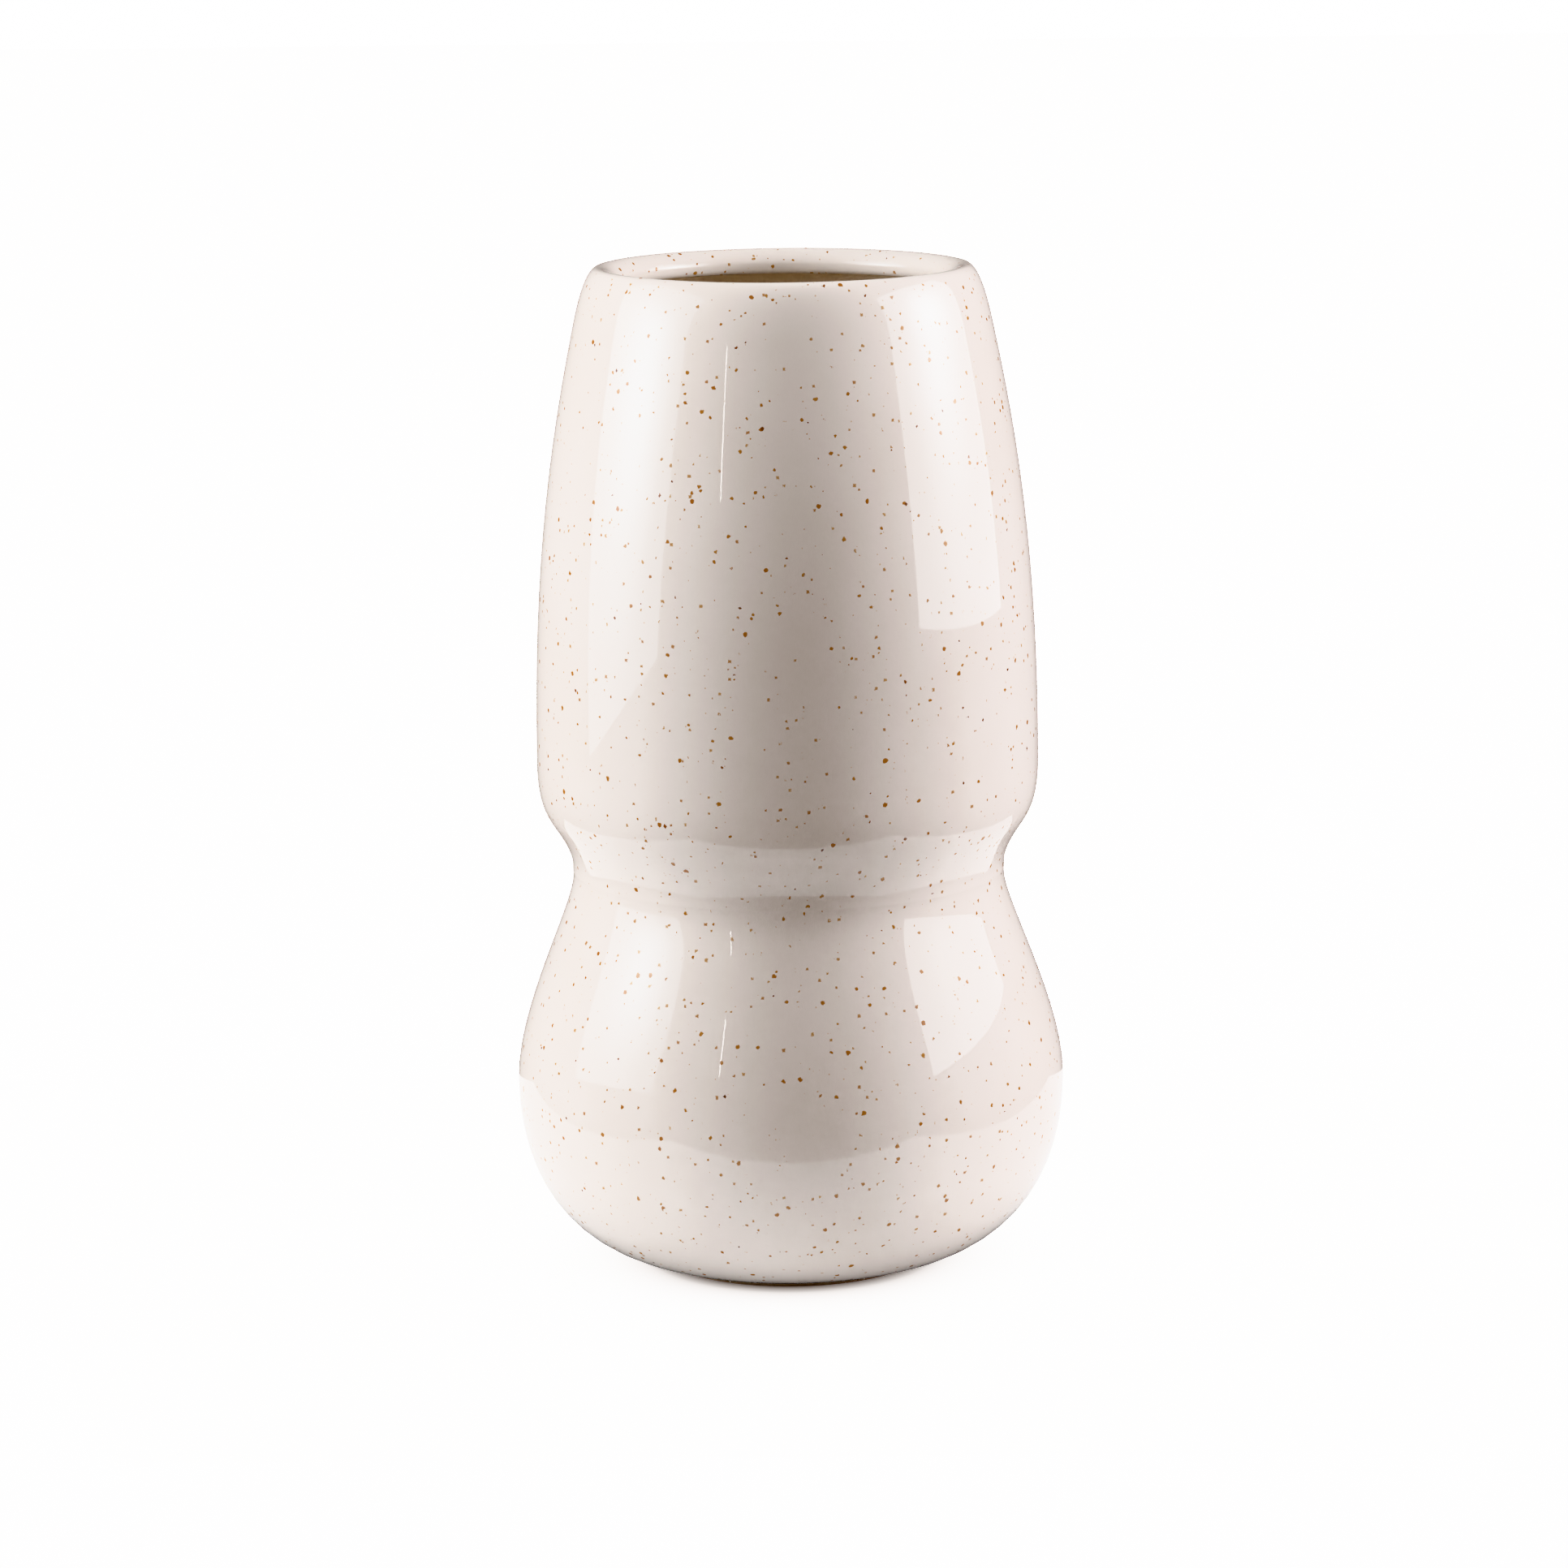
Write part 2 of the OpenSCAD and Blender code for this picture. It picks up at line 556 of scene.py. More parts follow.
class PieceTree:
    """A Geometry Nodes tree with named inputs that ends in a dressed mesh."""

    NAME = ""
    INPUTS: tuple[tuple[str, str, Any], ...] = ()

    def __init__(self) -> None:
        """Builds the tree."""
        self.tree = bpy.data.node_groups.new(self.NAME, "GeometryNodeTree")
        self.identifiers: dict[str, str] = {}
        sockets = self.tree.interface
        sockets.new_socket("Geometry", in_out="INPUT", socket_type="NodeSocketGeometry")
        for name, kind, default in self.INPUTS:
            socket = sockets.new_socket(name, in_out="INPUT", socket_type=kind)
            if default is not None:
                socket.default_value = default
            self.identifiers[name] = socket.identifier
        sockets.new_socket("Geometry", in_out="OUTPUT", socket_type="NodeSocketGeometry")
        w = Wiring(self.tree)
        group = w.node("NodeGroupInput")
        given = {s.name: Field(w, s) for s in group.outputs if s.name}
        real = w.add("GeometryNodeRealizeInstances", {}, {"Geometry": self._wire(w, given)})
        dressed = w.add(
            "GeometryNodeSetMaterial", {}, {"Geometry": real, "Material": given["Material"]}
        )
        w.node("NodeGroupOutput", {}, {0: dressed})

    def _wire(self, w: Wiring, given: dict[str, Field]) -> Field:
        """Adds the nodes that shape the mesh.

        Args:
            w: The tree's wiring.
            given: The tree's inputs by name.

        Returns:
            The shaped geometry.
        """
        raise NotImplementedError


class LatheTree(PieceTree):
    """Geometry Nodes tree that turns a profile about the vertical axis.

    The profile is a string of points whose X is the radius, Y the distance
    along the profile and Z the height. The turning tool leaves a spiral of
    grooves along the first points of the profile, and the hand leaves a slow
    unevenness in the whole wall.
    """

    NAME = "lathe"
    MERGED_WITHIN = 3.0e-6
    SETTLED_OVER = 0.012
    INPUTS = (
        ("Segments", "NodeSocketInt", 192),
        ("Profile Points", "NodeSocketInt", 2),
        ("Marked Points", "NodeSocketInt", 0),
        ("Mark Pitch", "NodeSocketFloat", 0.006),
        ("Mark Depth", "NodeSocketFloat", 0.0),
        ("Unevenness", "NodeSocketFloat", 0.0001),
        ("Unevenness Size", "NodeSocketFloat", 0.06),
        ("Level Below", "NodeSocketFloat", 0.0),
        ("Seed", "NodeSocketInt", 7),
        ("Material", "NodeSocketMaterial", None),
    )

    def _wire(self, w: Wiring, given: dict[str, Field]) -> Field:
        """Adds the nodes that turn the profile.

        Args:
            w: The tree's wiring.
            given: The tree's inputs by name.

        Returns:
            The turned geometry.
        """
        segments, count = given["Segments"], given["Profile Points"]
        grid = w.add(
            "GeometryNodeMeshGrid", {}, {"Vertices X": segments + 1.0, "Vertices Y": count}
        )
        index = w.add("GeometryNodeInputIndex")
        column = ((index + 0.5) / count).single("FLOOR")
        row = index - column * count
        place = w.add("GeometryNodeInputPosition")
        sampled = w.add(
            "GeometryNodeSampleIndex",
            {"data_type": "FLOAT_VECTOR", "domain": "POINT"},
            {"Geometry": given["Geometry"], "Value": place, "Index": row},
        )
        radius, along, height = sampled.parts()
        turn = column * math.tau / segments
        turned = w.vector(radius * turn.single("COSINE"), radius * turn.single("SINE"), height)
        marks = self._turning_grooves(w, given, row, along, turn)
        kept = w.add(
            "GeometryNodeStoreNamedAttribute",
            {"data_type": "FLOAT", "domain": "POINT"},
            {"Geometry": grid, "Name": "mark_height", "Value": marks},
        )
        placed = w.add("GeometryNodeSetPosition", {}, {"Geometry": kept, "Position": turned})
        merged = w.add(
            "GeometryNodeMergeByDistance", {}, {"Geometry": placed, "Distance": self.MERGED_WITHIN}
        )
        normal = w.add("GeometryNodeInputNormal")
        mark_height = w.add(
            "GeometryNodeInputNamedAttribute", {"data_type": "FLOAT"}, {"Name": "mark_height"}
        )
        marked = w.add(
            "GeometryNodeSetPosition", {}, {"Geometry": merged, "Offset": normal * mark_height}
        )
        uneven = w.add(
            "GeometryNodeSetPosition",
            {},
            {"Geometry": marked, "Offset": self._hand_unevenness(w, given, place)},
        )
        clean = w.add(
            "GeometryNodeRemoveAttribute", {}, {"Geometry": uneven, "Name": "mark_height"}
        )
        return w.add("GeometryNodeSetShadeSmooth", {}, {"Geometry": clean})

    @staticmethod
    def _turning_grooves(
        w: Wiring, given: dict[str, Field], row: Field, along: Field, turn: Field
    ) -> Field:
        """Gives the height of the spiral that the turning tool leaves.

        Args:
            w: The tree's wiring.
            given: The tree's inputs.
            row: Number of the point along the profile.
            along: Distance along the profile.
            turn: Angle about the axis.

        Returns:
            The height, in metres, with 0 off the marked points.
        """
        phase = along / given["Mark Pitch"] * math.tau + turn
        marked = row.below(given["Marked Points"])
        fade_in = along.step(0.0, 0.02)
        return phase.single("SINE") * given["Mark Depth"] * marked * fade_in

    def _hand_unevenness(self, w: Wiring, given: dict[str, Field], place: Field) -> Field:
        """Gives the slow unevenness of a hand-made wall.

        Args:
            w: The tree's wiring.
            given: The tree's inputs.
            place: The point's position.

        Returns:
            The offset, in metres.
        """
        noise = w.add(
            "ShaderNodeTexNoise",
            {"noise_dimensions": "4D"},
            {
                "Vector": place,
                "W": given["Seed"] * 1.37,
                "Scale": 1.0 / given["Unevenness Size"],
                "Detail": 1.0,
                "Roughness": 0.4,
            },
            output="Color",
        )
        red, green, _ = noise.parts()
        x, y, z = place.parts()
        out = w.add("ShaderNodeVectorMath", {"operation": "NORMALIZE"}, {0: w.vector(x, y, 0.0)})
        settled = z.step(given["Level Below"], given["Level Below"] + self.SETTLED_OVER)
        size = given["Unevenness"] * 2.0 * settled
        return out * ((red - 0.5) * size) + w.vector(0.0, 0.0, (green - 0.5) * size)


class GrainTree(PieceTree):
    """Geometry Nodes tree that strews angular grains over bare clay."""

    NAME = "grog_grains"
    INPUTS = (
        ("Density", "NodeSocketFloat", 1.0e5),
        ("Grain Size", "NodeSocketFloat", 0.0003),
        ("Seed", "NodeSocketInt", 3),
        ("Material", "NodeSocketMaterial", None),
    )

    def _wire(self, w: Wiring, given: dict[str, Field]) -> Field:
        """Adds the nodes that strew the grains.

        Args:
            w: The tree's wiring.
            given: The tree's inputs by name.

        Returns:
            The strewn grains.
        """
        points = w.add(
            "GeometryNodeDistributePointsOnFaces",
            {"distribute_method": "RANDOM"},
            {"Mesh": given["Geometry"], "Density": given["Density"], "Seed": given["Seed"]},
        )
        grain = w.add("GeometryNodeMeshIcoSphere", {}, {"Radius": 0.5, "Subdivisions": 1})
        turn = w.add(
            "FunctionNodeRandomValue",
            {"data_type": "FLOAT_VECTOR"},
            {"Min": (0.0, 0.0, 0.0), "Max": (math.tau,) * 3, "Seed": given["Seed"]},
        )
        stretch = w.add(
            "FunctionNodeRandomValue",
            {"data_type": "FLOAT_VECTOR"},
            {"Min": (0.35, 0.35, 0.3), "Max": (1.3, 1.0, 0.8), "Seed": given["Seed"] + 1.0},
        )
        return w.add(
            "GeometryNodeInstanceOnPoints",
            {},
            {
                "Points": points,
                "Instance": grain,
                "Rotation": turn,
                "Scale": stretch * given["Grain Size"],
            },
        )


@dataclass
class Workshop:
    """Runs the Geometry Nodes trees and hands back plain meshes."""

    lathe: LatheTree = field(default_factory=LatheTree)
    grains: GrainTree = field(default_factory=GrainTree)
    sharp_angle: float = 38.0

    def run(
        self, tree: PieceTree, base: bpy.types.Mesh, name: str, values: dict[str, Any]
    ) -> bpy.types.Object:
        """Puts a mesh through a tree and makes the result a plain mesh.

        Args:
            tree: The tree.
            base: The mesh that goes in.
            name: The finished piece's name.
            values: Values of the tree's named inputs.

        Returns:
            The finished piece, at the origin.
        """
        source = bpy.data.objects.new(name + "_blank", base)
        bpy.context.scene.collection.objects.link(source)
        modifier = source.modifiers.new(tree.NAME, "NODES")
        modifier.node_group = tree.tree
        for key, value in values.items():
            modifier[tree.identifiers[key]] = value
        bpy.context.view_layer.update()
        graph = bpy.context.evaluated_depsgraph_get()
        mesh = bpy.data.meshes.new_from_object(
            source.evaluated_get(graph), preserve_all_data_layers=True, depsgraph=graph
        )
        mesh.name = name
        source.modifiers.remove(modifier)
        bpy.data.objects.remove(source)
        piece = bpy.data.objects.new(name, mesh)
        bpy.context.scene.collection.objects.link(piece)
        return piece

    def turn(
        self, name: str, points: Sequence[Point], material: bpy.types.Material, **values: Any
    ) -> bpy.types.Object:
        """Turns a profile into a round piece.

        Args:
            name: The piece's name.
            points: The profile in millimetres, with its first and last point
                on the axis or equal to each other.
            material: The piece's finish.
            values: Other inputs of the lathe, with underscores for spaces.

        Returns:
            The piece.
        """
        along, travelled = [0.0], 0.0
        for before, after in zip(points, points[1:]):
            travelled += math.dist(before, after)
            along.append(travelled)
        blank = bpy.data.meshes.new(name + "_profile")
        blank.from_pydata(
            [(r * MM, s * MM, z * MM) for (r, z), s in zip(points, along)],
            [(i, i + 1) for i in range(len(points) - 1)],
            [],
        )
        chosen = {key.replace("_", " "): value for key, value in values.items()}
        chosen.update({"Profile Points": len(points), "Material": material})
        piece = self.run(self.lathe, blank, name, chosen)
        piece.data.set_sharp_from_angle(angle=math.radians(self.sharp_angle))
        return piece


# --------------------------------------------------------------------------
# Finishes


class SpeckShape(Enum):
    """How the edge of a speck is measured from its middle."""

    ROUND = "EUCLIDEAN"
    SHARD = "CHEBYCHEV"
    CHIP = "MANHATTAN"


@dataclass(frozen=True)
class SpeckLayer:
    """One size of iron speck that has burned through a glaze.

    Sizes are millimetres. Each cell of a three-dimensional net holds one
    speck, and only a share of the cells is filled.
    """

    cell: float
    share: float
    radius: float
    middle: tuple[Colour, Colour]
    rim: tuple[Colour, Colour]
    shape: SpeckShape = SpeckShape.ROUND
    spread: float = 0.6
    blur: float = 0.12
    strength: float = 1.0
    raggedness: float = 0.3
    place: tuple[float, float, float] = (0.0, 0.0, 0.0)

    def paint(self, w: Wiring, spot: Field, ragged: Field, under: Field) -> tuple[Field, Field]:
        """Paints the specks over a colour.

        Args:
            w: The material's wiring.
            spot: The place on the surface, in millimetres.
            ragged: Random vector that roughens the edges of the specks.
            under: The colour under the specks.

        Returns:
            The colour with the specks, and how much of a speck covers it.
        """
        net = w.node(
            "ShaderNodeTexVoronoi",
            {"voronoi_dimensions": "3D", "feature": "F1", "distance": self.shape.value},
            {
                "Vector": (spot + ragged * self.raggedness) * (1.0 / self.cell) + self.place,
                "Scale": 1.0,
                "Randomness": 1.0,
            },
        )
        distance = Field(w, net.outputs["Distance"])
        size_draw, fill_draw, tint_draw = Field(w, net.outputs["Color"]).parts()
        size = (size_draw * self.spread + (1.0 - self.spread)) * (self.radius / self.cell)
        filled = fill_draw.below(self.share)
        nearness = 1.0 - distance / size
        cover = nearness.step(0.0, self.blur / self.radius) * filled * self.strength
        core = nearness.step(0.15, 0.65)
        tint_middle = w.mix(tint_draw, self.middle[0], self.middle[1])
        tint_rim = w.mix(tint_draw, self.rim[0], self.rim[1])
        return w.mix(cover, under, w.mix(core, tint_rim, tint_middle)), cover


PALE_OCHRE: Colour = (0.58, 0.38, 0.16)
TAN: Colour = (0.47, 0.25, 0.075)
AMBER: Colour = (0.4, 0.17, 0.035)
ORANGE_BROWN: Colour = (0.36, 0.13, 0.028)
RUST: Colour = (0.2, 0.058, 0.014)
DARK_BROWN: Colour = (0.085, 0.03, 0.011)
NEAR_BLACK: Colour = (0.028, 0.014, 0.008)

OUTSIDE_SPECKS = (
    SpeckLayer(1.6, 0.3, 0.27, (PALE_OCHRE, TAN), (PALE_OCHRE, PALE_OCHRE), strength=0.6),
    SpeckLayer(
        2.3, 0.42, 0.44, (TAN, ORANGE_BROWN), (PALE_OCHRE, TAN), SpeckShape.SHARD,
        strength=0.9, raggedness=0.6, place=(3.7, 1.3, 8.1),
    ),
    SpeckLayer(
        3.0, 0.48, 0.68, (AMBER, ORANGE_BROWN), (TAN, AMBER),
        raggedness=0.9, place=(5.2, 9.4, 2.6),
    ),
    SpeckLayer(
        4.9, 0.3, 0.76, (RUST, DARK_BROWN), (ORANGE_BROWN, RUST), SpeckShape.CHIP,
        raggedness=0.8, place=(1.9, 4.4, 6.3),
    ),
)

INSIDE_SPECKS = (
    SpeckLayer(
        3.4, 0.4, 0.42, (TAN, ORANGE_BROWN), (PALE_OCHRE, TAN), strength=0.8, raggedness=0.5
    ),
    SpeckLayer(
        6.4, 0.3, 0.6, (ORANGE_BROWN, RUST), (TAN, ORANGE_BROWN), SpeckShape.SHARD,
        raggedness=0.6, place=(4.3, 2.7, 5.9),
    ),
)


@dataclass(frozen=True)
class Glaze:
    """A glossy fired glaze, clouded a little and speckled with iron."""

    name: str
    cream: Colour
    cloud: Colour
    specks: tuple[SpeckLayer, ...]
    roughness: float = 0.02
    speck_roughness: float = 0.12
    peel_height: float = 2.2e-6
    peel_size: float = 5.5
    speck_height: float = 1.2e-5
    cloud_size: float = 38.0

    def make(self) -> bpy.types.Material:
        """Builds the glaze's material.

        Returns:
            The material.
        """
        material = bpy.data.materials.new(self.name)
        w = cleared(material)
        spot = w.add("ShaderNodeTexCoord", output="Object") * (1.0 / MM)
        clouds = w.noise(spot, 1.0 / self.cloud_size, 3.0)
        colour = w.mix(clouds.step(0.35, 0.7), self.cream, self.cloud)
        red, green, blue = w.noise(spot, 1.1, 2.0, output="Color").parts()
        ragged = w.vector(red - 0.5, green - 0.5, blue - 0.5)
        covered: Optional[Field] = None
        for layer in self.specks:
            colour, cover = layer.paint(w, spot, ragged, colour)
            covered = cover if covered is None else covered.larger(cover)
        peel = w.noise(spot, 1.0 / self.peel_size, 1.5)
        w.surface(
            {
                "Base Color": colour,
                "Roughness": covered * self.speck_roughness + self.roughness,
                "IOR": 1.5,
                "Normal": w.bump(peel * self.peel_height + covered * self.speck_height),
            }
        )
        return material


@dataclass(frozen=True)
class BareClay:
    """Fired clay without glaze: sandy, with dark iron and pale quartz grains."""

    name: str
    body: Colour
    shade: Colour
    iron: Colour = (0.13, 0.06, 0.03)
    quartz: Colour = (0.72, 0.62, 0.5)
    roughness: float = 0.78
    grain_height: float = 4.0e-5

    def make(self) -> bpy.types.Material:
        """Builds the clay's material.

        Returns:
            The material.
        """
        material = bpy.data.materials.new(self.name)
        w = cleared(material)
        spot = w.add("ShaderNodeTexCoord", output="Object") * (1.0 / MM)
        drift = w.noise(spot, 0.09, 4.0)
        sand = w.noise(spot, 3.1, 5.0, 0.7)
        colour = w.mix(drift.step(0.3, 0.7), self.body, self.shade)
        colour = w.mix(sand.step(0.42, 0.75) * 0.35, colour, self.shade)
        grit = w.node("ShaderNodeTexVoronoi", {}, {"Vector": spot, "Scale": 0.9})
        distance = Field(w, grit.outputs["Distance"])
        draw, fill, _ = Field(w, grit.outputs["Color"]).parts()
        grain = distance.below(draw * 0.2 + 0.08)
        colour = w.mix(grain * fill.below(0.16), colour, self.iron)
        colour = w.mix(grain * fill.above(0.8), colour, self.quartz)
        relief = sand * self.grain_height + grain * fill.above(0.6) * self.grain_height
        w.surface(
            {
                "Base Color": colour,
                "Roughness": sand * 0.16 + (self.roughness - 0.08),
                "Normal": w.bump(relief),
            }
        )
        return material


@dataclass
class Finishes:
    """The vase's five finishes, one for each slot of the record."""

    speckled_glaze: Glaze = Glaze(
        "speckled_glaze", (0.86, 0.82, 0.775), (0.83, 0.785, 0.735), OUTSIDE_SPECKS
    )
    # The liner's darker, warmer tan is partly the liner glaze's own colour and partly painted
    # shade, standing in for the warm shadow deep inside the mouth.
    liner_glaze: Glaze = Glaze(
        "liner_glaze", (0.81, 0.7, 0.56), (0.76, 0.63, 0.47), INSIDE_SPECKS
    )
    bare_stoneware: BareClay = BareClay("bare_stoneware", (0.47, 0.36, 0.26), (0.36, 0.25, 0.17))
    stoneware_body: BareClay = BareClay("stoneware_body", (0.52, 0.42, 0.32), (0.43, 0.33, 0.24))
    slip: BareClay = BareClay(
        "slip", (0.48, 0.37, 0.27), (0.41, 0.31, 0.22), roughness=0.84, grain_height=2.0e-5
    )


# --------------------------------------------------------------------------
# Pieces of the vase


class Slot(Enum):
    """Material slots of the record."""

    BARE_STONEWARE = "bare_stoneware"
    STONEWARE_BODY = "stoneware_body"
    SLIP = "slip"
    SPECKLED_GLAZE = "speckled_glaze"
    LINER_GLAZE = "liner_glaze"


@dataclass
class Piece:
    """What every piece of the vase needs to be built and placed."""

    outline: Outline
    workshop: Workshop
    finishes: Finishes
    unevenness: float = 0.1

    def throw(
        self,
        name: str,
        points: list[Point],
        material: bpy.types.Material,
        slot: Slot,
        replaced: str,
    ) -> bpy.types.Object:
        """Turns one thrown piece, a little uneven, and settles it.

        Args:
            name: The piece's name.
            points: Its closed profile.
            material: Its finish.
            slot: The record's slot for its finish.
            replaced: The CAD node that it stands for.

        Returns:
            The piece.
        """
        made = self.workshop.turn(
            name,
            points,
            material,
            Unevenness=self.unevenness * MM,
            Level_Below=self.outline.foot_height * MM,
        )
        return self.settle(made, slot, replaced)

    def settle(
        self, made: bpy.types.Object, slot: Slot, replaced: Optional[str] = None
    ) -> bpy.types.Object:
        """Ties a finished piece to the frame and reports it.

        Args:
            made: The finished piece.
            slot: The record's slot for its finish.
            replaced: The CAD node that it stands for, if any.

        Returns:
            The piece.
        """
        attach(made, "root")
        if replaced:
            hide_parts(replaced)
        LOG.info("%s: %d faces, %s", made.name, len(made.data.polygons), slot.value)
        return made


@dataclass
class FootRing(Piece):
    """The turned ring of bare clay that the vase stands on."""

    groove_pitch: float = 0.55
    groove_depth: float = 0.02
    grain_size: float = 0.42
    grain_density: float = 0.09
    face_points: int = 64
    rim_points: int = 48

    def profile(self) -> list[Point]:
        """Lists the ring's outline, with softened corners.

        Returns:
            The closed outline, in millimetres, counter-clockwise.
        """
        o = self.outline
        inner, outer = o.foot_radius - o.foot_width, o.foot_radius
        top = o.run(o.lower, o.glaze)[0][1]
        face = level_line(inner + o.foot_chamfer, outer - o.foot_chamfer, 0.0, self.face_points)
        chamfer_out = self._soft_chamfer(face[-1], (outer, o.foot_chamfer))
        chamfer_in = self._soft_chamfer((inner, o.foot_chamfer), face[0])
        return face + chamfer_out + [(outer, top), (inner, top)] + chamfer_in + [face[0]]

    @staticmethod
    def _soft_chamfer(
        first: Point, second: Point, count: int = 5, bulge: float = 0.16
    ) -> list[Point]:
        """Rounds a chamfer outwards a little.

        Args:
            first: Start of the chamfer.
            second: End of the chamfer.
            count: How many points it has.
            bulge: How far its middle stands out, as a share of its length.

        Returns:
            The points, without the end that lies on the ring's flat face.
        """
        a, b = Vector(first), Vector(second)
        out = Vector(((b - a).y, -(b - a).x)) * bulge
        first_step = 1 if a.y < b.y else 0
        shares = [i / count for i in range(first_step, count + first_step)]
        return [tuple(a.lerp(b, s) + out * math.sin(math.pi * s)) for s in shares]

    def build(self) -> list[bpy.types.Object]:
        """Builds the ring and the grains in its bare clay.

        Returns:
            The two pieces.
        """
        clay = self.finishes.bare_stoneware.make()
        ring = self.workshop.turn(
            "turned_foot_ring",
            self.profile(),
            clay,
            Marked_Points=self.face_points,
            Mark_Pitch=self.groove_pitch * MM,
            Mark_Depth=self.groove_depth * MM,
            Unevenness=0.0,
        )
        grains = self.workshop.run(
            self.workshop.grains,
            self._bare_underside(),
            "grog_grains",
            {
                "Density": self.grain_density / MM**2,
                "Grain Size": self.grain_size * MM,
                "Material": clay,
            },
        )
        return [
            self.settle(ring, Slot.BARE_STONEWARE, "foot_ring"),
            self.settle(grains, Slot.BARE_STONEWARE),
        ]

    def _bare_underside(self) -> bpy.types.Mesh:
        """Makes the disc of bare clay inside the ring, for the grains to lie on.

        Returns:
            The disc's mesh.
        """
        o = self.outline
        radius = (o.foot_radius - o.foot_width - 0.3) * MM
        z = o.run(o.lower, o.glaze)[0][1] * MM
        turns = [i * math.tau / self.rim_points for i in range(self.rim_points)]
        rim = [(radius * math.cos(turn), radius * math.sin(turn), z) for turn in turns]
        disc = bpy.data.meshes.new("underside_blank")
        disc.from_pydata(rim, [], [list(range(self.rim_points))[::-1]])
        return disc


@dataclass
class ClaySections(Piece):
    """The two thrown sections, the slip between them and the rolled lip."""

    base_points: int = 10

    def build(self) -> list[bpy.types.Object]:
        """Builds the four clay pieces.

        Returns:
            The pieces, from the bottom up.
        """
        o = self.outline
        clay = self.finishes.stoneware_body.make()
        slip = self.finishes.slip.make()
        deep = o.wall - o.glaze
        low_out, low_in = o.run(o.lower, o.glaze), o.run(o.lower, deep)
        up_out, up_in = o.run(o.upper, o.glaze), o.run(o.upper, deep)
        lower = (
            level_line(0.0, low_out[0][0], low_out[0][1], self.base_points)[:-1]
            + low_out
            + low_in[::-1]
            + [(0.0, low_in[0][1])]
        )
        upper = up_out + up_in[::-1] + [up_out[0]]
        lip_line = o.run(o.lip + o.undercut, o.glaze)
        lip = lip_line + [lip_line[0]]
        joint = [low_in[-1], low_out[-1], up_out[0], up_in[0], low_in[-1]]
        return [
            self.throw("lower_section", lower, clay, Slot.STONEWARE_BODY, "lower_body"),
            self.throw("slip_joint", joint, slip, Slot.SLIP, "joint_slip"),
            self.throw("upper_section", upper, clay, Slot.STONEWARE_BODY, "upper_body"),
            self.throw("lip_roll", lip, clay, Slot.STONEWARE_BODY, "rolled_lip"),
        ]


@dataclass
class GlazeCoats(Piece):
    """The speckled glaze outside and the liner glaze inside."""

    floor_points: int = 22

    def build(self) -> list[bpy.types.Object]:
        """Builds the two coats.

        Returns:
            The outer coat and the liner.
        """
        return [self._outer(), self._liner()]

    def _outer(self) -> bpy.types.Object:
        """Builds the outer coat, with a beaded edge beside the foot.

        Returns:
            The outer coat.
        """
        o = self.outline
        face, back = o.whole_outside(0.0), o.whole_outside(o.glaze)[::-1]
        bead = half_round(back[-1], face[0])
        points = face + back + bead + [face[0]]
        glaze = self.finishes.speckled_glaze.make()
        return self.throw(
            "speckled_outer_glaze", points, glaze, Slot.SPECKLED_GLAZE, "outer_glaze"
        )

    def _liner(self) -> bpy.types.Object:
        """Builds the liner, from the floor to the edge under the lip.

        Returns:
            The liner.
        """
        o = self.outline
        face = o.whole_inside(0.0, o.wall)
        back = o.whole_inside(o.glaze, o.wall - o.glaze)
        floor = level_line(face[-1][0], 0.0, face[-1][1], self.floor_points)[1:]
        points = [(0.0, back[-1][1])] + back[::-1] + face + floor
        glaze = self.finishes.liner_glaze.make()
        return self.throw("liner_glaze_coat", points, glaze, Slot.LINER_GLAZE, "liner_glaze")


# --------------------------------------------------------------------------
# Studio


